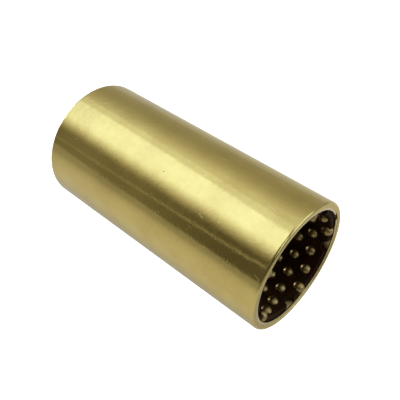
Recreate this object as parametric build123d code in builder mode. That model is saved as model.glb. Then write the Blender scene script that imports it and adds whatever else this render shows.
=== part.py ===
from build123d import *
import math
import os

# Linear ball bushing with a stroking ball cage, millimetres.
# The axis of the bushing is X, the open mouth that the cage rests against is at +X, and +Z is up.
# The origin is the centre of the sleeve.

# Driving dimensions
shaft_diameter = 25.0
ball_diameter = 3.0
sleeve_length = 70.0
sleeve_wall = 1.45
ball_clearance = 0.05
sleeve_edge_radius = 0.7
mouth_chamfer = 0.15

# Ball lattice: circles of balls along the axis, each circle turned against the one before it
balls_per_circle = 5
circle_count = 52
circle_pitch = 1.09
circle_turn = 19.8
first_ball_angle = 290.0
row_turn_circles = 4

# Ball cage
cage_bore_clearance = 0.35
cage_shaft_clearance = 1.05
cage_edge_to_first_ball = 1.10
cage_edge_chamfer = 0.25
pocket_clearance = 0.06
pocket_seat_depth = 0.15
pocket_lip_depth = 0.55
pocket_lip_radius = 1.42

# Retaining rings: flat spring rings, each sprung into a groove just inside a mouth
groove_setback = 0.20
groove_width = 0.40
groove_depth = 0.55
ring_thickness = 0.35
ring_side_play = 0.02
ring_groove_play = 0.05
ring_inner_radius = 14.95
ring_gap = 3.0
ring_corner_radius = 0.3
front_gap_angle = 23.0
rear_gap_angle = 157.0
cage_stop_gap = 0.08

# Derived dimensions
ball_radius = ball_diameter / 2
pitch_radius = shaft_diameter / 2 + ball_radius
bore_radius = pitch_radius + ball_radius + ball_clearance
sleeve_radius = bore_radius + sleeve_wall
half_length = sleeve_length / 2
cage_outer_radius = bore_radius - cage_bore_clearance
cage_inner_radius = shaft_diameter / 2 + cage_shaft_clearance
cage_length = 2 * cage_edge_to_first_ball + (circle_count - 1) * circle_pitch
groove_radius = bore_radius + groove_depth
ring_outer_radius = groove_radius - ring_groove_play
ring_setback = groove_setback + ring_side_play
ring_gap_cut_depth = 4 * (ring_outer_radius - ring_inner_radius)
cage_front = half_length - ring_setback - ring_thickness - cage_stop_gap
cage_travel = 2 * cage_front - cage_length
pocket_radius = ball_radius + pocket_clearance
row_count = balls_per_circle * row_turn_circles
balls_per_row = circle_count // row_turn_circles


def lattice_plane(circle, place):
    """Plane at one ball centre, its Z pointing away from the axis; circle 0 is the one at the mouth."""
    angle = math.radians(first_ball_angle + circle * circle_turn + place * 360 / balls_per_circle)
    x = cage_front - cage_edge_to_first_ball - circle * circle_pitch
    outward = Vector(0, math.cos(angle), math.sin(angle))
    return Plane(origin=Vector(x, 0, 0) + outward * pitch_radius, x_dir=(1, 0, 0), z_dir=outward)


def row_planes(row):
    """Ball centres of one row: every fourth circle, stepping to the neighbour that lies almost in line."""
    start_circle = row // balls_per_circle
    planes = []
    for step in range(balls_per_row):
        place = row % balls_per_circle - step
        planes.append(lattice_plane(start_circle + step * row_turn_circles, place))
    return planes


# Outer sleeve: a plain tube with rounded outer edges and a ring groove inside each mouth
with BuildPart() as outer_sleeve:
    with BuildSketch(Plane.YZ.offset(-half_length)):
        Circle(sleeve_radius)
        Circle(bore_radius, mode=Mode.SUBTRACT)
    extrude(amount=sleeve_length)
    end_edges = outer_sleeve.edges().filter_by(GeomType.CIRCLE).group_by(Axis.X)
    rim_edges = end_edges[0] + end_edges[-1]
    fillet(rim_edges.group_by(SortBy.RADIUS)[-1], sleeve_edge_radius)
    end_edges = outer_sleeve.edges().filter_by(GeomType.CIRCLE).group_by(Axis.X)
    rim_edges = end_edges[0] + end_edges[-1]
    chamfer(rim_edges.group_by(SortBy.RADIUS)[0], mouth_chamfer)
    for groove_start in (half_length - groove_setback - groove_width, -half_length + groove_setback):
        with BuildSketch(Plane.YZ.offset(groove_start)):
            Circle(groove_radius)
            Circle(bore_radius - ball_radius, mode=Mode.SUBTRACT)
        extrude(amount=groove_width, mode=Mode.SUBTRACT)

# Retaining rings: split flat rings that stop the cage at the two mouths, their gaps turned apart
retaining_rings = []
for name, ring_start, gap_angle in (
    ("front_retaining_ring", half_length - ring_setback - ring_thickness, front_gap_angle),
    ("rear_retaining_ring", -half_length + ring_setback, rear_gap_angle),
):
    with BuildPart() as retaining_ring:
        with BuildSketch(Plane.YZ.offset(ring_start)):
            Circle(ring_outer_radius)
            Circle(ring_inner_radius, mode=Mode.SUBTRACT)
            with PolarLocations(ring_outer_radius, 1, start_angle=gap_angle):
                Rectangle(ring_gap_cut_depth, ring_gap, mode=Mode.SUBTRACT)
        extrude(amount=ring_thickness)
        fillet(retaining_ring.edges().filter_by(Axis.X), ring_corner_radius)
    retaining_ring.part.label = name
    retaining_rings.append(retaining_ring.part)

# Ball cage: a tube cut to length from pocketed stock, so both of its ends run through a circle of
# open half pockets that hold no ball. Every other pocket narrows to a lip that keeps its ball from
# dropping towards the shaft.
pocket_planes = [
    lattice_plane(circle, place)
    for circle in range(-1, circle_count + 1)
    for place in range(balls_per_circle)
]
with BuildPart() as ball_cage:
    with BuildSketch(Plane.YZ.offset(cage_front - cage_length)):
        Circle(cage_outer_radius)
        Circle(cage_inner_radius, mode=Mode.SUBTRACT)
    extrude(amount=cage_length)
    cage_ends = ball_cage.edges().filter_by(GeomType.CIRCLE).group_by(SortBy.RADIUS)[0]
    chamfer(cage_ends, cage_edge_chamfer)
    with Locations(*[plane.offset(-pocket_seat_depth) for plane in pocket_planes]):
        Cylinder(
            pocket_radius,
            ball_diameter,
            align=(Align.CENTER, Align.CENTER, Align.MIN),
            mode=Mode.SUBTRACT,
        )
    with Locations(*[plane.offset(-pocket_lip_depth) for plane in pocket_planes]):
        Cone(
            pocket_lip_radius,
            pocket_radius,
            pocket_lip_depth - pocket_seat_depth,
            align=(Align.CENTER, Align.CENTER, Align.MIN),
            mode=Mode.SUBTRACT,
        )

# Balls: twenty rows that run the length of the cage, each row its own group of separate balls
ball_rows = []
for row in range(row_count):
    with BuildPart() as ball_row:
        with Locations(*row_planes(row)):
            Sphere(ball_radius)
    ball_row.part.label = f"ball_row_{row + 1:02d}"
    ball_rows.append(ball_row.part)

outer_sleeve.part.label = "outer_sleeve"
ball_cage.part.label = "ball_cage"

os.makedirs("parts", exist_ok=True)
export_step(outer_sleeve.part, "parts/outer_sleeve.step")
export_step(ball_cage.part, "parts/ball_cage.step")
for part in retaining_rings + ball_rows:
    export_step(part, f"parts/{part.label}.step")

print(f"sleeve {2 * sleeve_radius:.2f} x {2 * bore_radius:.2f} x {sleeve_length:.1f}")
print(f"cage length {cage_length:.2f}, front face at x={cage_front:.2f}, travel {cage_travel:.2f}")
print(f"balls {circle_count * balls_per_circle}, rows {row_count} of {balls_per_row}")
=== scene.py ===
"""Looks of a linear ball bushing: a brass sleeve, two split retaining rings, a dark cage and its balls.

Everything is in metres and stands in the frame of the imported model, whose X is the axis of the bushing.
"""

import logging
import math
from dataclasses import dataclass, field
from enum import Enum
from typing import Any, Callable, Iterable, Union

import bmesh
import bpy
from mathutils import Matrix, Vector


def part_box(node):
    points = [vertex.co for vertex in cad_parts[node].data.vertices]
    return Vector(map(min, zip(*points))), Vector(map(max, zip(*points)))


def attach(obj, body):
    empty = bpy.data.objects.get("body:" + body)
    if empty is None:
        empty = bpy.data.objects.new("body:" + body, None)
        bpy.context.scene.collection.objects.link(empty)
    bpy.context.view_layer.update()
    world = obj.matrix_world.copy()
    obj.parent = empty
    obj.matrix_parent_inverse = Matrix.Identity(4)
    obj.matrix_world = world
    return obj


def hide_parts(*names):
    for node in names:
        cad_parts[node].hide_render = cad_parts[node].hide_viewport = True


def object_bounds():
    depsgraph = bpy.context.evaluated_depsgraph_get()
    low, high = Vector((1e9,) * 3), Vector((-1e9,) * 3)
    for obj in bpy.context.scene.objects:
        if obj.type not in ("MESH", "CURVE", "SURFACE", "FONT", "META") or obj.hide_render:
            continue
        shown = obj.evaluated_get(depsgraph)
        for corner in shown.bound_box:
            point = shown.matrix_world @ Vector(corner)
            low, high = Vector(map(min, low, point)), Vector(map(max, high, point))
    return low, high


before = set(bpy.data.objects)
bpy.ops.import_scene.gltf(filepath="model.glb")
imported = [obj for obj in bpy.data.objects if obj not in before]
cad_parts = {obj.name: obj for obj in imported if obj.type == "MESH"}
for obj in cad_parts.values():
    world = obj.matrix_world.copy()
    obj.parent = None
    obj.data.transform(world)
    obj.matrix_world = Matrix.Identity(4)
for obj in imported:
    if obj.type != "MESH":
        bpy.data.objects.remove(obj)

log = logging.getLogger("ball_bushing")

MM = 0.001
CAD_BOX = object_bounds()

Colour = tuple[float, float, float]
Point = tuple[float, float, float]
Span = tuple[float, float]
Socket = bpy.types.NodeSocket
Value = Union[bpy.types.NodeSocket, float]
Mesh = bmesh.types.BMesh
Vert = bmesh.types.BMVert
Edge = bmesh.types.BMEdge
Face = bmesh.types.BMFace


class Body(Enum):
    """The rigid body that the new pieces ride on."""

    SLEEVE = "sleeve"


class Slot(Enum):
    """Names of material slots of the record; the new pieces build their own finishes and do not use them."""

    SLEEVE = "sleeve_brass"
    RING = "ring_brass"


# --------------------------------------------------------------------------------------
# Shader building
# --------------------------------------------------------------------------------------


class Shader:
    """Short calls for adding nodes to one node tree."""

    def __init__(self, tree: bpy.types.NodeTree) -> None:
        """Work on one node tree."""
        self.tree = tree

    def node(self, kind: str, inputs: dict[Any, Any] | None = None, **settings: Any) -> bpy.types.Node:
        """Add a node.

        Args:
            kind: Blender's name of the node type.
            inputs: input socket name or index to a value or an output socket.
            settings: properties of the node itself.

        Returns:
            The new node.
        """
        made = self.tree.nodes.new(kind)
        for key, value in settings.items():
            setattr(made, key, value)
        for key, value in (inputs or {}).items():
            self.feed(value, made.inputs[key])
        return made

    def feed(self, value: Any, socket: Socket) -> None:
        """Link an output socket to an input, or set the input's own value.

        Args:
            value: an output socket, a number, a vector or a colour.
            socket: the input that takes it.
        """
        if isinstance(value, bpy.types.NodeSocket):
            self.tree.links.new(value, socket)
        elif isinstance(value, tuple) and socket.type == "RGBA":
            socket.default_value = (*value, 1.0)
        else:
            socket.default_value = value

    def math(self, operation: str, *values: Value) -> Socket:
        """Return the result of a Math node on up to three values."""
        return self.node("ShaderNodeMath", dict(enumerate(values)), operation=operation).outputs[0]

    def ramp(self, value: Value, low: float, high: float, start: Value = 0.0, end: Value = 1.0) -> Socket:
        """Take a value smoothly from one level to another.

        Args:
            value: the value to map.
            low: where the ramp starts.
            high: where it ends.
            start: its level at low and before it.
            end: its level at high and past it.

        Returns:
            The level.
        """
        inputs = {"Value": value, "From Min": low, "From Max": high, "To Min": start, "To Max": end}
        made = self.node("ShaderNodeMapRange", inputs, interpolation_type="SMOOTHSTEP", clamp=True)
        return made.outputs["Result"]

    def mix(self, mask: Socket, first: Any, second: Any, share: float = 1.0) -> Socket:
        """Mix two colours.

        Args:
            mask: 0 for the first colour, 1 for the second.
            first: a colour or an output socket.
            second: a colour or an output socket.
            share: how much of the second colour a full mask asks for.

        Returns:
            The mixed colour.
        """
        made = self.node("ShaderNodeMix", data_type="RGBA", blend_type="MIX", clamp_factor=True)
        self.feed(mask if share == 1.0 else self.math("MULTIPLY", mask, share), made.inputs[0])
        self.feed(first, made.inputs[6])
        self.feed(second, made.inputs[7])
        return made.outputs[2]

    def noise(self, vector: Socket, scale: Value, detail: float = 2.0, roughness: float = 0.5) -> Socket:
        """Return a noise value from 0 to 1 at a position."""
        inputs = {"Vector": vector, "Scale": scale, "Detail": detail, "Roughness": roughness}
        return self.node("ShaderNodeTexNoise", inputs).outputs["Fac"]

    def parts(self, vector: Socket) -> list[Socket]:
        """Return the three parts of a vector."""
        return list(self.node("ShaderNodeSeparateXYZ", {0: vector}).outputs)

    def join(self, first: Value, second: Value, third: Value = 0.0) -> Socket:
        """Return the vector of three parts."""
        return self.node("ShaderNodeCombineXYZ", {0: first, 1: second, 2: third}).outputs[0]

    def length(self, first: Value, second: Value) -> Socket:
        """Return the length of a vector of two parts."""
        squares = [self.math("POWER", part, 2.0) for part in (first, second)]
        return self.math("SQRT", self.math("ADD", *squares))

    def scale(self, vector: Socket, factor: Value) -> Socket:
        """Return a vector made longer by a factor."""
        return self.node("ShaderNodeVectorMath", {0: vector, "Scale": factor}, operation="SCALE").outputs[0]

    def cells(self, place: Socket, spacing: Value) -> tuple[list[Socket], list[Socket]]:
        """Scatter points over a flat place.

        Args:
            place: the flat place.
            spacing: how far apart the points lie.

        Returns:
            The offset from the nearest point, and three random values that belong to that point.
        """
        scaled = self.scale(place, self.math("DIVIDE", 1.0, spacing))
        found = self.node("ShaderNodeTexVoronoi", {"Vector": scaled, "Scale": 1.0}, voronoi_dimensions="2D")
        points = {0: scaled, 1: found.outputs["Position"]}
        away = self.node("ShaderNodeVectorMath", points, operation="SUBTRACT").outputs[0]
        chance = self.node("ShaderNodeSeparateColor", {0: found.outputs["Color"]}).outputs
        return self.parts(self.scale(away, spacing)), list(chance)

    def group(self, name: str, **inputs: Any) -> bpy.types.NodeOutputs:
        """Place a shared effect.

        Args:
            name: the node group's name.
            inputs: its inputs, with underscores for spaces.

        Returns:
            The group's outputs.
        """
        made = self.node("ShaderNodeGroup", node_tree=bpy.data.node_groups[name])
        for key, value in inputs.items():
            self.feed(value, made.inputs[key.replace("_", " ")])
        return made.outputs

    def bump(self, height: Socket) -> Socket:
        """Return the normal of a surface with a height in metres."""
        return self.node("ShaderNodeBump", {"Height": height, "Strength": 1.0, "Distance": 1.0}).outputs[0]


@dataclass(frozen=True)
class Effects:
    """The shader node groups that several finishes share, each built once.

    An edge holds the two values between which a mask fades. A spread holds how far a random size or turn
    ranges and where its range starts.
    """

    line_detail: float = 4.0
    line_roughness: float = 0.75
    patch_scale: float = 0.17
    fine_height: float = 0.6
    patch_height: float = 0.4
    hair_edge: Span = (0.56, 0.72)
    patch_edge: Span = (0.38, 0.62)
    ripple_width: float = 2.6
    ripple_length: float = 0.45
    ripple_detail: float = 3.0
    ripple_roughness: float = 0.6
    cloud_detail: float = 4.0
    cloud_edge: Span = (0.36, 0.66)
    mottling_scale: float = 6.0
    mottling_detail: float = 5.0
    mottling_edge: Span = (0.3, 0.7)
    dash_turn_spread: Span = (1.5, -0.55)
    dash_half_spread: Span = (0.4, 0.15)
    dash_tip_edge: Span = (0.6, 1.0)
    dash_side_edge: Span = (0.2, 0.6)
    pit_spread: Span = (0.5, 0.25)
    pit_edge: Span = (0.5, 1.0)
    wear_scale: float = 900.0
    wear_detail: float = 4.0
    wear_spread: Span = (1.1, 0.45)
    wear_edge: Span = (0.35, 1.0)

    def build(self) -> None:
        """Make every group."""
        lines = ["Height", "Hairs", "Ripple"]
        edge = ["Vector:v", "Edge Along", "Edge Radius", "Reach"]
        self._group("unwrapped", self._unwrapped, ["Vector:v"], ["Place:v", "Along", "Radius"])
        self._group("hairlines", self._hairlines, ["Place:v", "Width", "Length"], lines)
        self._group("clouding", self._clouding, ["Vector:v", "Size"], ["Broad", "Fine"])
        self._group("dashes", self._dashes, ["Place:v", "Spacing", "Share", "Length", "Width"], ["Mask"])
        self._group("pits", self._pits, ["Place:v", "Spacing", "Share", "Size"], ["Mask"])
        self._group("edge_wear", self._edge_wear, edge, ["Mask"])

    @staticmethod
    def _group(
        name: str,
        fill: Callable[[Shader, bpy.types.NodeOutputs], list[Socket]],
        inputs: Iterable[str],
        outputs: Iterable[str],
    ) -> None:
        """Make one node group.

        Args:
            name: the group's name.
            fill: the method that adds its nodes, given the shader and the inputs, returning the outputs.
            inputs: its input names, with :v behind those that are vectors.
            outputs: its output names, marked in the same way.
        """
        tree = bpy.data.node_groups.new(name, "ShaderNodeTree")
        for in_out, texts in (("INPUT", inputs), ("OUTPUT", outputs)):
            for text in texts:
                label, _, mark = text.partition(":")
                kind = "NodeSocketVector" if mark else "NodeSocketFloat"
                tree.interface.new_socket(label, in_out=in_out, socket_type=kind)
        shader = Shader(tree)
        entry = shader.node("NodeGroupInput")
        leave = shader.node("NodeGroupOutput")
        for text, value in zip(outputs, fill(shader, entry.outputs)):
            shader.feed(value, leave.inputs[text.partition(":")[0]])

    @staticmethod
    def _unwrapped(s: Shader, given: bpy.types.NodeOutputs) -> list[Socket]:
        """Roll the tube out flat.

        Args:
            s: the group's shader.
            given: the position.

        Returns:
            The place on the rolled-out tube, along the axis and then round it from the top; the place
            along the axis; and the distance from it.
        """
        along, across, up = s.parts(given["Vector"])
        radius = s.length(across, up)
        round_it = s.math("MULTIPLY", s.math("ARCTAN2", across, up), radius)
        return [s.join(along, round_it), along, radius]

    def _hairlines(self, s: Shader, given: bpy.types.NodeOutputs) -> list[Socket]:
        """Draw fine lines across the first axis of the place, as a polishing belt leaves them.

        Args:
            s: the group's shader.
            given: the place, and the width and length of a line.

        Returns:
            The height of the lines, a mask of the rougher hairs and a broader unevenness of the surface.
        """
        along, across, _ = s.parts(given["Place"])
        place = s.join(s.math("DIVIDE", along, given["Width"]), s.math("DIVIDE", across, given["Length"]))
        fine = s.noise(place, 1.0, self.line_detail, self.line_roughness)
        patches = s.noise(place, self.patch_scale)
        height = s.math("MULTIPLY", fine, self.fine_height)
        height = s.math("MULTIPLY_ADD", patches, self.patch_height, height)
        hairs = s.math("MULTIPLY", s.ramp(fine, *self.hair_edge), s.ramp(patches, *self.patch_edge))
        wide = s.math("MULTIPLY", given["Width"], self.ripple_width)
        long = s.math("MULTIPLY", given["Length"], self.ripple_length)
        broader = s.join(s.math("DIVIDE", along, wide), s.math("DIVIDE", across, long))
        return [height, hairs, s.noise(broader, 1.0, self.ripple_detail, self.ripple_roughness)]

    def _clouding(self, s: Shader, given: bpy.types.NodeOutputs) -> list[Socket]:
        """Draw clouds, for tarnish, oil and uneven polish.

        Args:
            s: the group's shader.
            given: the position and the size of a cloud.

        Returns:
            A mask of broad clouds and one of a finer mottling.
        """
        scale = s.math("DIVIDE", 1.0, given["Size"])
        broad = s.noise(given["Vector"], scale, self.cloud_detail)
        fine = s.noise(given["Vector"], s.math("MULTIPLY", scale, self.mottling_scale), self.mottling_detail)
        return [s.ramp(broad, *self.cloud_edge), s.ramp(fine, *self.mottling_edge)]

    def _dashes(self, s: Shader, given: bpy.types.NodeOutputs) -> list[Socket]:
        """Draw sparse short straight scratches, each turned a little off the first axis.

        Args:
            s: the group's shader.
            given: the place, the spacing, the share of the places that hold a scratch, and its size.

        Returns:
            The mask of the scratches.
        """
        offset, chance = s.cells(given["Place"], given["Spacing"])
        turn = s.math("MULTIPLY_ADD", chance[1], *self.dash_turn_spread)
        cosine = s.math("COSINE", turn)
        sine = s.math("SINE", turn)
        along = s.math("MULTIPLY_ADD", offset[0], cosine, s.math("MULTIPLY", offset[1], sine))
        across = s.math("MULTIPLY", s.math("MULTIPLY", offset[0], sine), -1.0)
        aside = s.math("MULTIPLY_ADD", offset[1], cosine, across)
        half = s.math("MULTIPLY", given["Length"], s.math("MULTIPLY_ADD", chance[2], *self.dash_half_spread))
        to_tip = s.math("DIVIDE", s.math("ABSOLUTE", along), half)
        to_side = s.math("DIVIDE", s.math("ABSOLUTE", aside), given["Width"])
        within = s.ramp(to_tip, *self.dash_tip_edge, 1.0, 0.0)
        thin = s.ramp(to_side, *self.dash_side_edge, 1.0, 0.0)
        kept = s.math("LESS_THAN", chance[0], given["Share"])
        return [s.math("MULTIPLY", kept, s.math("MULTIPLY", within, thin))]

    def _pits(self, s: Shader, given: bpy.types.NodeOutputs) -> list[Socket]:
        """Draw sparse round pits of uneven size.

        Args:
            s: the group's shader.
            given: the place, the spacing, the share of the places that hold a pit, and its size.

        Returns:
            The mask of the pits.
        """
        offset, chance = s.cells(given["Place"], given["Spacing"])
        size = s.math("MULTIPLY", given["Size"], s.math("MULTIPLY_ADD", chance[1], *self.pit_spread))
        away = s.math("DIVIDE", s.length(offset[0], offset[1]), size)
        inside = s.ramp(away, *self.pit_edge, 1.0, 0.0)
        return [s.math("MULTIPLY", s.math("LESS_THAN", chance[0], given["Share"]), inside)]

    def _edge_wear(self, s: Shader, given: bpy.types.NodeOutputs) -> list[Socket]:
        """Rub the surface near a round edge that both ends share.

        Args:
            s: the group's shader.
            given: the position, the edge's place along the axis and its radius, and how far wear reaches.

        Returns:
            The mask of the wear.
        """
        place = s.group("unwrapped", Vector=given["Vector"])
        along = s.math("SUBTRACT", s.math("ABSOLUTE", place["Along"]), given["Edge Along"])
        out = s.math("SUBTRACT", place["Radius"], given["Edge Radius"])
        unevenness = s.noise(given["Vector"], self.wear_scale, self.wear_detail)
        ragged = s.math("MULTIPLY_ADD", unevenness, *self.wear_spread)
        near = s.math("DIVIDE", s.length(along, out), s.math("MULTIPLY", given["Reach"], ragged))
        return [s.ramp(near, *self.wear_edge, 1.0, 0.0)]


def new_material(name: str) -> tuple[bpy.types.Material, Shader, bpy.types.Node]:
    """Start a material.

    Args:
        name: its name.

    Returns:
        The material, a Shader on its tree and its Principled node.
    """
    material = bpy.data.materials.new(name)
    material.use_nodes = True
    surface = next(node for node in material.node_tree.nodes if node.type == "BSDF_PRINCIPLED")
    return material, Shader(material.node_tree), surface


def darker(colour: Colour, share: float) -> Colour:
    """Return a share of a colour."""
    return tuple(share * part for part in colour)


# --------------------------------------------------------------------------------------
# Finishes
# --------------------------------------------------------------------------------------


class LineRun(Enum):
    """How the tool marks of a face lie."""

    ROUND = "round the axis on a tube"
    FACING = "round the axis on a flat end"
    NONE = "none"


@dataclass(frozen=True)
class EdgeWear:
    """Where a rounded edge is rubbed bright."""

    along: float
    radius: float
    reach: float
    strength: float


@dataclass(frozen=True)
class Brass:
    """Brass in one state of finish.

    Lines are the fine marks of polishing, the ripple is the broader unevenness under them, and a dash is a
    single scratch. Its clouds and mottling are tarnish. A share says how much of something there is, a tint
    how far it changes the colour and a shade how dark it is. ripple_calm is the part of the ripple that is
    left between the clouds.
    """

    name: str
    colour: Colour = (0.80, 0.645, 0.225)
    tarnish: Colour = (0.60, 0.44, 0.14)
    worn: Colour = (0.92, 0.80, 0.40)
    roughness: float = 0.085
    cloud_roughness: float = 0.07
    hair_roughness: float = 0.30
    mark_roughness: float = 0.25
    lines: LineRun = LineRun.ROUND
    line_width: float = 0.17 * MM
    line_length: float = 4.0 * MM
    line_depth: float = 0.0012 * MM
    line_tint: float = 0.25
    ripple_depth: float = 0.042 * MM
    ripple_calm: float = 0.2
    clouds: float = 9.0 * MM
    tarnish_share: float = 0.3
    mottling_share: float = 0.4
    dash_spacing: float = 4.6 * MM
    dash_share: float = 0.34
    dash_length: float = 2.3 * MM
    dash_width: float = 0.12 * MM
    dash_depth: float = 0.006 * MM
    dash_tint: float = 0.9
    pit_spacing: float = 7.0 * MM
    pit_share: float = 0.16
    pit_size: float = 0.3 * MM
    pit_depth: float = 0.03 * MM
    pit_tint: float = 0.9
    pit_shade: float = 0.12
    edge: EdgeWear | None = None
    film: float = 0.3

    def make(self) -> bpy.types.Material:
        """Build the material.

        Returns:
            The material.
        """
        material, s, surface = new_material(self.name)
        marks = self._marks(s, s.node("ShaderNodeTexCoord").outputs["Object"])
        s.feed(self._colour(s, marks), surface.inputs["Base Color"])
        s.feed(self._roughness(s, marks), surface.inputs["Roughness"])
        s.feed(s.bump(self._height(s, marks)), surface.inputs["Normal"])
        surface.inputs["Metallic"].default_value = 1.0
        surface.inputs["Coat Weight"].default_value = self.film
        surface.inputs["Coat Roughness"].default_value = self.roughness
        return material

    def _place(self, s: Shader, vector: Socket) -> Socket:
        """Find the flat place that the tool marks run across.

        Args:
            s: the material's shader.
            vector: the position.

        Returns:
            The place, whose second axis runs along the marks.
        """
        if self.lines is LineRun.NONE:
            return vector
        unwrapped = s.group("unwrapped", Vector=vector)
        if self.lines is LineRun.ROUND:
            return unwrapped["Place"]
        _, round_it, _ = s.parts(unwrapped["Place"])
        return s.join(unwrapped["Radius"], round_it)

    def _marks(self, s: Shader, vector: Socket) -> dict[str, Socket]:
        """Lay out what time and tools left on the surface.

        Args:
            s: the material's shader.
            vector: the position.

        Returns:
            The masks and heights by name; wear is among them only where an edge is rubbed.
        """
        place = self._place(s, vector)
        clouding = s.group("clouding", Vector=vector, Size=self.clouds)
        lines = s.group("hairlines", Place=place, Width=self.line_width, Length=self.line_length)
        dashes = s.group(
            "dashes",
            Place=place,
            Spacing=self.dash_spacing,
            Share=self.dash_share,
            Length=self.dash_length,
            Width=self.dash_width,
        )
        pits = s.group(
            "pits",
            Place=place,
            Spacing=self.pit_spacing,
            Share=self.pit_share,
            Size=self.pit_size,
        )
        marks = {
            "clouds": clouding["Broad"],
            "mottling": clouding["Fine"],
            "relief": lines["Height"],
            "hairs": lines["Hairs"],
            "ripple": lines["Ripple"],
            "dashes": dashes["Mask"],
            "pits": pits["Mask"],
        }
        if self.edge:
            marks["wear"] = s.group(
                "edge_wear",
                Vector=vector,
                Edge_Along=self.edge.along,
                Edge_Radius=self.edge.radius,
                Reach=self.edge.reach,
            )["Mask"]
        return marks

    def _colour(self, s: Shader, marks: dict[str, Socket]) -> Socket:
        """Tarnish the brass, and rub it bright at its edges and scratches.

        Args:
            s: the material's shader.
            marks: what is on the surface.

        Returns:
            The base colour.
        """
        colour = s.mix(marks["clouds"], self.colour, self.tarnish, self.tarnish_share)
        colour = s.mix(marks["mottling"], colour, self.tarnish, self.tarnish_share * self.mottling_share)
        colour = s.mix(marks["hairs"], colour, self.tarnish, self.line_tint)
        if "wear" in marks:
            colour = s.mix(marks["wear"], colour, self.worn, self.edge.strength)
        colour = s.mix(marks["dashes"], colour, self.worn, self.dash_tint)
        return s.mix(marks["pits"], colour, darker(self.tarnish, self.pit_shade), self.pit_tint)

    def _roughness(self, s: Shader, marks: dict[str, Socket]) -> Socket:
        """Roughen the polish where it is mottled or marked.

        Args:
            s: the material's shader.
            marks: what is on the surface.

        Returns:
            The roughness.
        """
        rough = s.math("MULTIPLY_ADD", marks["mottling"], self.cloud_roughness, self.roughness)
        rough = s.math("MULTIPLY_ADD", marks["hairs"], self.hair_roughness, rough)
        marked = s.math("MAXIMUM", marks["dashes"], marks["pits"])
        return s.math("MULTIPLY_ADD", marked, self.mark_roughness, rough)

    def _height(self, s: Shader, marks: dict[str, Socket]) -> Socket:
        """Add up the ripple, the lines, the pits and the scratches.

        Args:
            s: the material's shader.
            marks: what is on the surface.

        Returns:
            The height in metres.
        """
        uneven = s.math("MULTIPLY_ADD", marks["clouds"], 1.0 - self.ripple_calm, self.ripple_calm)
        height = s.math("MULTIPLY", s.math("MULTIPLY", marks["ripple"], uneven), self.ripple_depth)
        height = s.math("MULTIPLY_ADD", marks["relief"], self.line_depth, height)
        height = s.math("MULTIPLY_ADD", marks["pits"], -self.pit_depth, height)
        return s.math("MULTIPLY_ADD", marks["dashes"], -self.dash_depth, height)


@dataclass(frozen=True)
class Resin:
    """Dark machined resin with a film of oil, as on the cage."""

    name: str
    colour: Colour = (0.026, 0.008, 0.003)
    dusty: Colour = (0.055, 0.028, 0.013)
    dust_share: float = 0.7
    oil_share: float = 0.4
    oil_shade: float = 0.3
    clouds: float = 5.0 * MM
    roughness: float = 0.62
    oil_roughness: float = -0.14
    hair_roughness: float = 0.2
    line_width: float = 0.3 * MM
    line_length: float = 9.0 * MM
    line_depth: float = 0.01 * MM
    gloss: float = 0.03

    def make(self) -> bpy.types.Material:
        """Build the material.

        Returns:
            The material.
        """
        material, s, surface = new_material(self.name)
        vector = s.node("ShaderNodeTexCoord").outputs["Object"]
        place = s.group("unwrapped", Vector=vector)["Place"]
        clouding = s.group("clouding", Vector=vector, Size=self.clouds)
        lines = s.group("hairlines", Place=place, Width=self.line_width, Length=self.line_length)
        colour = s.mix(clouding["Broad"], self.colour, self.dusty, self.dust_share)
        colour = s.mix(clouding["Fine"], colour, darker(self.colour, self.oil_shade), self.oil_share)
        s.feed(colour, surface.inputs["Base Color"])
        rough = s.math("MULTIPLY_ADD", clouding["Fine"], self.oil_roughness, self.roughness)
        rough = s.math("MULTIPLY_ADD", lines["Hairs"], self.hair_roughness, rough)
        s.feed(rough, surface.inputs["Roughness"])
        s.feed(s.bump(s.math("MULTIPLY", lines["Height"], self.line_depth)), surface.inputs["Normal"])
        surface.inputs["Specular IOR Level"].default_value = self.gloss
        return material


CAGE_RESIN = Resin("cage_resin")

SPRING_BRASS = Brass(
    "spring_brass",
    colour=(0.86, 0.75, 0.40),
    tarnish=(0.55, 0.42, 0.18),
    roughness=0.2,
    lines=LineRun.FACING,
    line_width=0.1 * MM,
    ripple_depth=0.0,
    clouds=2.5 * MM,
    dash_share=0.0,
    pit_share=0.0,
)

# Painted shade: the balls' brass is darker than the sleeve's, which dims the balls as if they lie in the
# shade inside the cage.
BALL_BRASS = Brass(
    "ball_brass",
    colour=(0.49, 0.37, 0.165),
    tarnish=(0.25, 0.17, 0.065),
    roughness=0.29,
    cloud_roughness=0.12,
    hair_roughness=0.0,
    lines=LineRun.NONE,
    line_width=0.3 * MM,
    line_length=0.3 * MM,
    line_depth=0.004 * MM,
    ripple_depth=0.0,
    clouds=1.5 * MM,
    tarnish_share=0.5,
    dash_share=0.0,
    pit_share=0.0,
    film=0.0,
)


# --------------------------------------------------------------------------------------
# Mesh building
# --------------------------------------------------------------------------------------

CENTRE = (0.0, 0.0, 0.0)
AXIS = (1.0, 0.0, 0.0)

# Edges that turn by more than this stay sharp.
SHARP_ANGLE = math.radians(32)

# An edge runs along the axis if it goes this share of its length that way.
ALONG_SHARE = 0.9


def ring_profile(bm: Mesh, corners: Iterable[Span]) -> list[Vert]:
    """Draw a closed outline in the plane of X and Z.

    Args:
        bm: the bmesh to draw in.
        corners: place along the axis and distance from it of each corner, in order.

    Returns:
        The corner vertices.
    """
    verts = [bm.verts.new((along, 0.0, radius)) for along, radius in corners]
    for first, second in zip(verts, verts[1:] + verts[:1]):
        bm.edges.new((first, second))
    return verts


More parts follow.
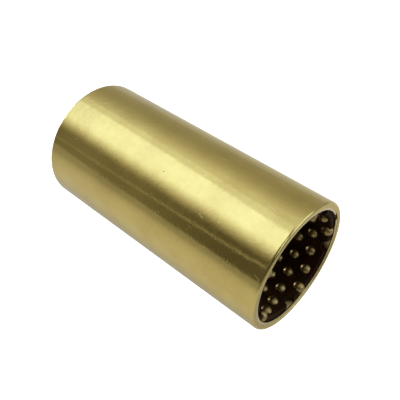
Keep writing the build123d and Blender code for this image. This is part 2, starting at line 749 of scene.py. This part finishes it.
def round_corners(bm: Mesh, verts: Iterable[Vert], radius: float, segments: int) -> None:
    """Round corners of an outline.

    Args:
        bm: the bmesh that holds the outline.
        verts: the corners.
        radius: how far from the corner the rounding starts.
        segments: number of edges in each rounding.
    """
    bmesh.ops.bevel(
        bm,
        geom=list(verts),
        offset=radius,
        offset_type="OFFSET",
        segments=segments,
        profile=0.5,
        affect="VERTICES",
        material=-1,
        clamp_overlap=True,
    )


def round_edges(bm: Mesh, edges: list[Edge], radius: float, segments: int) -> None:
    """Round edges of a solid.

    Args:
        bm: the bmesh that holds the solid.
        edges: the edges.
        radius: how far from the edge the rounding starts.
        segments: number of faces in each rounding.
    """
    bmesh.ops.bevel(
        bm, geom=edges, offset=radius, segments=segments, profile=0.5, affect="EDGES", material=-1
    )


def spin_round(bm: Mesh, items: list[Any], angle: float, steps: int, closed: bool) -> list[Any]:
    """Sweep an outline or a face round the axis.

    Args:
        bm: the bmesh that holds it.
        items: its vertices, edges and faces.
        angle: how far to turn.
        steps: number of steps in the turn.
        closed: whether the end of the sweep is joined to its start.

    Returns:
        The vertices, edges and faces at the end of the sweep.
    """
    swept = bmesh.ops.spin(
        bm, geom=items, cent=CENTRE, axis=AXIS, angle=angle, steps=steps, use_merge=closed
    )
    return swept["geom_last"]


def finish_mesh(bm: Mesh, name: str) -> bpy.types.Object:
    """Turn a bmesh into a smooth-shaded object at the origin, its sharper edges kept sharp.

    Args:
        bm: the bmesh, which is freed.
        name: name of the object and its mesh.

    Returns:
        The new object.
    """
    bmesh.ops.recalc_face_normals(bm, faces=bm.faces)
    for face in bm.faces:
        face.smooth = True
    for edge in bm.edges:
        edge.smooth = edge.calc_face_angle(0.0) < SHARP_ANGLE
    mesh = bpy.data.meshes.new(name)
    bm.to_mesh(mesh)
    bm.free()
    piece = bpy.data.objects.new(name, mesh)
    bpy.context.scene.collection.objects.link(piece)
    return piece


# --------------------------------------------------------------------------------------
# Pieces
# --------------------------------------------------------------------------------------


class Side(Enum):
    """The sides of the sleeve's wall; the value is the place of the side's material."""

    OUTSIDE = 0
    END = 1
    BORE = 2


@dataclass
class Sleeve:
    """The outer sleeve: a plain tube with rounded rims and a ring groove inside each mouth.

    The faces within end_depth of an end plane are that end. The rims are rubbed bright within wear_reach of
    a circle that lies wear_inset of the rim radius in from the outside and the end.
    """

    node: str = "outer_sleeve"
    wall: float = 1.45 * MM
    rim_radius: float = 0.7 * MM
    rim_segments: int = 10
    mouth_chamfer: float = 0.15 * MM
    groove_setback: float = 0.20 * MM
    groove_width: float = 0.40 * MM
    groove_depth: float = 0.55 * MM
    edge_break: float = 0.03 * MM
    break_segments: int = 2
    segments: int = 288
    end_depth: float = 0.02 * MM
    wear_inset: float = 0.3
    wear_reach: float = 0.5 * MM
    wear_strength: float = 0.2
    half_length: float = field(init=False)
    radius: float = field(init=False)

    def __post_init__(self) -> None:
        """Take the overall size from the frame."""
        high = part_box(self.node)[1]
        self.half_length = high.x
        self.radius = high.z

    @property
    def bore(self) -> float:
        """Radius of the bore."""
        return self.radius - self.wall

    def build(self) -> bpy.types.Object:
        """Build and dress the sleeve.

        Returns:
            The sleeve.
        """
        bm = bmesh.new()
        outline = ring_profile(bm, self._corners())
        rims = [vert for vert in outline if math.isclose(vert.co.z, self.radius)]
        rest = [vert for vert in outline if vert not in rims]
        round_corners(bm, rims, self.rim_radius, self.rim_segments)
        round_corners(bm, rest, self.edge_break, self.break_segments)
        spin_round(bm, bm.verts[:] + bm.edges[:], math.tau, self.segments, closed=True)
        for face in bm.faces:
            face.material_index = self._side(face.calc_center_median()).value
        piece = finish_mesh(bm, "brass_sleeve")
        finishes = self._finishes()
        for side in Side:
            piece.data.materials.append(finishes[side].make())
        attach(piece, Body.SLEEVE.value)
        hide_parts(self.node)
        return piece

    def _corners(self) -> list[Span]:
        """Lay out the section of the wall.

        Returns:
            The corners at one mouth, from the outside to the groove, then those at the other mouth.
        """
        end = self.half_length
        groove_out = end - self.groove_setback
        groove_in = groove_out - self.groove_width
        floor = self.bore + self.groove_depth
        half = [
            (end, self.radius),
            (end, self.bore + self.mouth_chamfer),
            (end - self.mouth_chamfer, self.bore),
            (groove_out, self.bore),
            (groove_out, floor),
            (groove_in, floor),
            (groove_in, self.bore),
        ]
        return half + [(-along, radius) for along, radius in reversed(half)]

    def _side(self, centre: Vector) -> Side:
        """Tell which side of the wall a face is on.

        Args:
            centre: the face's centre.

        Returns:
            The side.
        """
        if abs(centre.x) > self.half_length - self.end_depth:
            return Side.END
        if math.hypot(centre.y, centre.z) < self.radius - self.rim_radius:
            return Side.BORE
        return Side.OUTSIDE

    def _finishes(self) -> dict[Side, Brass]:
        """Choose the finishes.

        Returns:
            The finish of each side of the wall.
        """
        edge = EdgeWear(
            along=self.half_length - self.wear_inset * self.rim_radius,
            radius=self.radius - self.wear_inset * self.rim_radius,
            reach=self.wear_reach,
            strength=self.wear_strength,
        )
        outside = Brass("sleeve_outside", edge=edge)
        ends = Brass(
            "sleeve_ends",
            colour=(0.73, 0.59, 0.18),
            tarnish=(0.54, 0.40, 0.12),
            roughness=0.16,
            lines=LineRun.FACING,
            line_width=0.08 * MM,
            line_depth=0.002 * MM,
            ripple_depth=0.0,
            clouds=3.0 * MM,
            film=0.0,
        )
        # Painted light: the bore's brass is paler than the outside's, so the half pockets, which lie in shade
        # inside the mouth, read bright.
        bore = Brass(
            "sleeve_bore",
            colour=(0.93, 0.80, 0.38),
            tarnish=(0.56, 0.40, 0.16),
            roughness=0.42,
            line_depth=0.003 * MM,
            ripple_depth=0.0,
            tarnish_share=0.5,
        )
        return {Side.OUTSIDE: outside, Side.END: ends, Side.BORE: bore}


@dataclass
class RetainingRing:
    """A split flat spring ring in the groove just inside one mouth.

    The corners at its gap are rounded, and then every edge that turns by more than break_angle is broken.
    """

    node: str
    gap_angle: float
    gap: float = 3.0 * MM
    inner_radius: float = 14.95 * MM
    corner_radius: float = 0.3 * MM
    corner_segments: int = 4
    edge_break: float = 0.05 * MM
    break_segments: int = 2
    break_angle: float = math.radians(60)
    segments: int = 220

    def build(self, finish: bpy.types.Material) -> bpy.types.Object:
        """Build and dress the ring.

        Args:
            finish: its material.

        Returns:
            The ring.
        """
        low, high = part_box(self.node)
        outer_radius = max(abs(low.y), high.y, abs(low.z), high.z)
        half_gap = math.asin(self.gap / 2 / outer_radius)
        bm = bmesh.new()
        start = self._section(bm, low.x, high.x, outer_radius)
        turn = Matrix.Rotation(self.gap_angle + half_gap, 3, "X")
        bmesh.ops.rotate(bm, verts=start.verts, cent=CENTRE, matrix=turn)
        swept = [start, *start.edges, *start.verts]
        last = spin_round(bm, swept, math.tau - 2 * half_gap, self.segments, closed=False)
        ends = {start, *(item for item in last if isinstance(item, Face))}
        corners = [edge for face in ends if face.is_valid for edge in face.edges if self._runs_along(edge)]
        round_edges(bm, corners, self.corner_radius, self.corner_segments)
        rims = [edge for edge in bm.edges if edge.calc_face_angle(0.0) > self.break_angle]
        round_edges(bm, rims, self.edge_break, self.break_segments)
        piece = finish_mesh(bm, self.node.replace("retaining", "spring"))
        piece.data.materials.append(finish)
        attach(piece, Body.SLEEVE.value)
        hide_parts(self.node)
        return piece

    def _section(self, bm: Mesh, low: float, high: float, outer_radius: float) -> Face:
        """Draw the ring's section on the Y side of the axis.

        Args:
            bm: the bmesh to draw in.
            low: place along the axis of one side of the ring.
            high: place along the axis of the other side.
            outer_radius: the ring's outer radius.

        Returns:
            The section.
        """
        outer = [(low, outer_radius), (high, outer_radius)]
        inner = [(high, self.inner_radius), (low, self.inner_radius)]
        return bm.faces.new([bm.verts.new((along, radius, 0.0)) for along, radius in outer + inner])

    @staticmethod
    def _runs_along(edge: Edge) -> bool:
        """Return whether an edge runs along the axis."""
        first, second = (vert.co for vert in edge.verts)
        return abs(first.x - second.x) > ALONG_SHARE * edge.calc_length()


@dataclass
class CadGroup:
    """CAD nodes whose shape is right and that only take a finish."""

    names: list[str]

    def dress(self, finish: bpy.types.Material) -> None:
        """Give every node the finish.

        Args:
            finish: the material.
        """
        for name in self.names:
            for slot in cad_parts[name].material_slots:
                slot.material = finish


# --------------------------------------------------------------------------------------
# Studio
# --------------------------------------------------------------------------------------


@dataclass(frozen=True)
class Camera:
    """The camera, aimed beside the middle of the sleeve."""

    azimuth: float = math.radians(42.329)
    elevation: float = math.radians(43.881)
    distance: float = 147.8 * MM
    aim: Point = (2.67 * MM, 1.70 * MM, -0.57 * MM)
    lens: float = 51.43
    sensor: float = 36.0
    clip_start: float = 5 * MM

    def build(self) -> None:
        """Stand the camera at its azimuth and elevation."""
        flat = math.cos(self.elevation)
        along, across = math.sin(self.azimuth) * flat, -math.cos(self.azimuth) * flat
        back = Vector((along, across, math.sin(self.elevation)))
        data = bpy.data.cameras.new("camera")
        data.lens = self.lens
        data.sensor_width = self.sensor
        data.clip_start = self.clip_start
        camera = bpy.data.objects.new("camera", data)
        camera.location = Vector(self.aim) + back * self.distance
        camera.rotation_euler = (-back).to_track_quat("-Z", "Y").to_euler()
        bpy.context.scene.collection.objects.link(camera)
        bpy.context.scene.camera = camera


@dataclass(frozen=True)
class Floor:
    """The floor under the sleeve.

    The camera sees it white. What the brass mirrors is greyer, and dimmer still away from the sleeve, in its
    shade and past the front mouth. far_level holds its levels far off, on the two sides that far_side names.
    """

    size: float = 8.0
    drop: float = 0.02 * MM
    colour: Colour = (0.21, 0.187, 0.14)
    roughness: float = 0.9
    glow: Colour = (1.01, 1.0, 0.96)
    near_level: float = 0.475
    far_level: Span = (0.19, 0.33)
    far_side: Span = (-80 * MM, 80 * MM)
    distance_fade: Span = (20 * MM, 200 * MM)
    shade: float = 0.75
    shade_edge: Span = (14 * MM, 26 * MM)
    past_mouth: float = 0.35
    past_mouth_fade: Span = (60 * MM, 125 * MM)

    def build(self) -> None:
        """Lay the floor."""
        bm = bmesh.new()
        bmesh.ops.create_grid(bm, x_segments=1, y_segments=1, size=self.size / 2)
        bmesh.ops.translate(bm, verts=bm.verts, vec=(0.0, 0.0, CAD_BOX[0].z - self.drop))
        floor = finish_mesh(bm, "floor")
        material, s, surface = new_material("pale_floor")
        surface.inputs["Base Color"].default_value = (*self.colour, 1.0)
        surface.inputs["Roughness"].default_value = self.roughness
        surface.inputs["Specular IOR Level"].default_value = 0.0
        surface.inputs["Emission Color"].default_value = (*self.glow, 1.0)
        seen = s.node("ShaderNodeLightPath").outputs["Is Camera Ray"]
        s.feed(s.math("ADD", self._mirrored(s), seen), surface.inputs["Emission Strength"])
        floor.data.materials.append(material)

    def _mirrored(self, s: Shader) -> Socket:
        """Light the floor as the brass mirrors it.

        Args:
            s: the floor's shader.

        Returns:
            The level of its glow.
        """
        along, across, _ = s.parts(s.node("ShaderNodeTexCoord").outputs["Object"])
        far = s.ramp(across, *self.far_side, *self.far_level)
        level = s.ramp(s.length(along, across), *self.distance_fade, self.near_level, far)
        under = s.ramp(s.math("ABSOLUTE", across), *self.shade_edge, self.shade, 1.0)
        beyond = s.ramp(along, *self.past_mouth_fade, 1.0, self.past_mouth)
        return s.math("MULTIPLY", level, s.math("MULTIPLY", under, beyond))


@dataclass(frozen=True)
class EndLight:
    """A small light that shines through the far mouth, along the axis."""

    size: float = 0.13
    level: float = 6.5
    place: Point = (-0.4, 0.0, 0.03)

    def build(self) -> None:
        """Hang the light."""
        data = bpy.data.lights.new("end_light", "AREA")
        data.shape = "SQUARE"
        data.size = self.size
        data.energy = self.level * math.pi * self.size**2
        light = bpy.data.objects.new("end_light", data)
        light.location = self.place
        light.rotation_euler = (0.0, -math.pi / 2, 0.0)
        light.visible_camera = False
        bpy.context.scene.collection.objects.link(light)


@dataclass(frozen=True)
class Window:
    """A round light with a soft edge, by its direction and its half width in degrees."""

    direction: Point
    half_width: float
    level: float = 1.15
    soft_edge: Span = (1.3, 0.8)

    def light(self, s: Shader, direction: Socket) -> Socket:
        """Light a direction.

        Args:
            s: the world's shader.
            direction: the direction.

        Returns:
            The window's level in it.
        """
        inputs = {0: direction, 1: Vector(self.direction).normalized()}
        towards = s.node("ShaderNodeVectorMath", inputs, operation="DOT_PRODUCT").outputs["Value"]
        edges = [math.cos(math.radians(share * self.half_width)) for share in self.soft_edge]
        return s.ramp(towards, *edges, 0.0, self.level)


@dataclass(frozen=True)
class Tent:
    """Light from all round the bushing.

    Its level goes by the turn about the axis in degrees: 0 is level behind the bushing, 90 overhead and 180
    level in front. A skew turns an edge of light by that many degrees for each unit of direction along the
    axis, counted from skew_from. The brighter the light, the cooler it is: daylight in the panel, a warm
    room round it. Green and blue each hold how fast their share of the level grows with it, and their share
    in the panel. Past panel_end_span, towards the front mouth, the panel fades panel_end degrees sooner. The
    levels of the front and of the strip are those at the two ends of front_span. The camera sees plain white.
    """

    back_wall: tuple[Span, ...] = (
        (-180, 0.16),
        (-30, 0.40),
        (0, 0.37),
        (16, 0.335),
        (30, 0.33),
        (46, 0.43),
        (58, 0.58),
        (66, 0.71),
        (78, 0.73),
        (92, 0.0),
    )
    skew_from: float = -0.5
    panel_level: float = 1.22
    panel_edge: Span = (82.5, 86.0)
    panel_fade: Span = (114.5, 148.5)
    panel_skew: float = 27.0
    panel_end: float = 24.0
    panel_end_span: Span = (-0.25, 0.3)
    rim_level: float = 0.88
    rim_edge: Span = (68.5, 73.0)
    front_span: Span = (-0.66, -0.34)
    front_level: Span = (0.20, 0.10)
    strip_turn: float = 159.8
    strip_half_width: float = 1.5
    strip_level: Span = (0.16, 0.46)
    strip_skew: float = -25.0
    end_wall: float = 0.35
    near_end_span: Span = (0.5, 0.9)
    far_end_span: Span = (-0.9, -0.7)
    windows: tuple[Window, ...] = (Window((0.80, 0.50, 0.31), 18.0), Window((0.87, -0.14, 0.48), 12.0))
    green: Span = (0.26, 1.15)
    blue: Span = (0.80, 1.36)

    def build(self) -> None:
        """Build the world."""
        world = bpy.data.worlds.new("tent")
        bpy.context.scene.world = world
        world.use_nodes = True
        background = world.node_tree.nodes["Background"]
        s = Shader(world.node_tree)
        along, across, up = s.parts(s.node("ShaderNodeTexCoord").outputs["Generated"])
        turn = s.math("DEGREES", s.math("ARCTAN2", up, across))
        level = s.math("MAXIMUM", self._wall(s, turn), self._overhead(s, along, turn))
        near_end = s.ramp(along, *self.near_end_span, 1.0, self.end_wall)
        far_end = s.ramp(along, *self.far_end_span, self.end_wall, 1.0)
        level = s.math("MULTIPLY", level, s.math("MINIMUM", near_end, far_end))
        for window in self.windows:
            level = s.math("MAXIMUM", level, window.light(s, s.join(along, across, up)))
        seen = s.node("ShaderNodeLightPath").outputs["Is Camera Ray"]
        s.feed(s.mix(seen, self._coloured(s, level), (1.0, 1.0, 1.0)), background.inputs["Color"])

    def _wall(self, s: Shader, turn: Socket) -> Socket:
        """Light the wall behind the bushing.

        Args:
            s: the world's shader.
            turn: the turn about the axis.

        Returns:
            The wall's level.
        """
        wall = s.node("ShaderNodeValToRGB", {0: s.math("MULTIPLY_ADD", turn, 1 / 360, 0.5)})
        fill_ramp(wall.color_ramp, {(angle + 180) / 360: level for angle, level in self.back_wall})
        return wall.outputs["Color"]

    def _overhead(self, s: Shader, along: Socket, turn: Socket) -> Socket:
        """Light the panel overhead, the dimmer rim along its back and the front that it fades into.

        Args:
            s: the world's shader.
            along: the part of the direction that lies along the axis.
            turn: the turn about the axis.

        Returns:
            The level of all three.
        """
        sideways = s.math("SUBTRACT", along, self.skew_from)
        skewed = s.math("MULTIPLY_ADD", sideways, -self.panel_skew, turn)
        past_end = s.ramp(along, *self.panel_end_span, 0.0, self.panel_end)
        fade = s.ramp(s.math("ADD", turn, past_end), *self.panel_fade, 1.0, 0.0)
        panel = s.math("MULTIPLY", s.ramp(skewed, *self.panel_edge), fade)
        rim = s.math("MULTIPLY", s.ramp(skewed, *self.rim_edge, 0.0, self.rim_level), fade)
        front = s.ramp(along, *self.front_span, *self.front_level)
        lit = s.math("MULTIPLY_ADD", panel, s.math("SUBTRACT", self.panel_level, front), front)
        lit = s.math("ADD", lit, self._strip(s, along, sideways, turn))
        return s.math("MAXIMUM", rim, lit)

    def _strip(self, s: Shader, along: Socket, sideways: Socket, turn: Socket) -> Socket:
        """Light a narrow strip low in the front.

        Args:
            s: the world's shader.
            along: the part of the direction that lies along the axis.
            sideways: that part, counted from where skewed edges are not turned.
            turn: the turn about the axis.

        Returns:
            The strip's level.
        """
        aside = s.math("MULTIPLY_ADD", sideways, -self.strip_skew, s.math("SUBTRACT", turn, self.strip_turn))
        narrow = s.ramp(s.math("ABSOLUTE", aside), 0.0, self.strip_half_width, 1.0, 0.0)
        return s.math("MULTIPLY", narrow, s.ramp(along, *self.front_span, *self.strip_level))

    def _coloured(self, s: Shader, level: Socket) -> Socket:
        """Colour the light.

        Args:
            s: the world's shader.
            level: its level.

        Returns:
            Its colour.
        """
        cooler = s.math("DIVIDE", s.math("SUBTRACT", level, self.panel_level), self.panel_level)
        green = s.math("MULTIPLY", level, s.math("MULTIPLY_ADD", cooler, *self.green))
        blue = s.math("MULTIPLY", level, s.math("MULTIPLY_ADD", cooler, *self.blue))
        return s.join(level, green, blue)


def fill_ramp(ramp: bpy.types.ColorRamp, stops: dict[float, float]) -> None:
    """Set a ramp's stops.

    Args:
        ramp: the ramp.
        stops: place on the ramp to grey value.
    """
    while len(ramp.elements) > 1:
        ramp.elements.remove(ramp.elements[-1])
    places = sorted(stops)
    ramp.elements[0].position = places[0]
    for place in places[1:]:
        ramp.elements.new(place)
    for element, place in zip(ramp.elements, places):
        element.color = (stops[place],) * 3 + (1.0,)


@dataclass(frozen=True)
class Studio:
    """The camera, the pale floor, the soft light all round and the light at the far end."""

    camera: Camera = Camera()
    floor: Floor = Floor()
    tent: Tent = Tent()
    end_light: EndLight = EndLight()

    def build(self) -> None:
        """Set up the whole studio."""
        bpy.context.scene.view_settings.view_transform = "Standard"
        for part in (self.camera, self.floor, self.tent, self.end_light):
            part.build()


def main() -> None:
    """Build the studio and the bushing, and report each piece."""
    logging.basicConfig(level=logging.INFO, format="%(message)s")
    Effects().build()
    Studio().build()

    spring_brass = SPRING_BRASS.make()
    front_ring = RetainingRing("front_retaining_ring", gap_angle=math.radians(23))
    rear_ring = RetainingRing("rear_retaining_ring", gap_angle=math.radians(157))
    for piece in (Sleeve().build(), front_ring.build(spring_brass), rear_ring.build(spring_brass)):
        log.info("%s: %d faces", piece.name, len(piece.data.polygons))

    cage = CadGroup(["ball_cage"])
    cage.dress(CAGE_RESIN.make())
    balls = CadGroup(sorted(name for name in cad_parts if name.startswith("ball_row_")))
    balls.dress(BALL_BRASS.make())
    log.info("cage and %d ball rows dressed", len(balls.names))


if __name__ == "__main__":
    main()
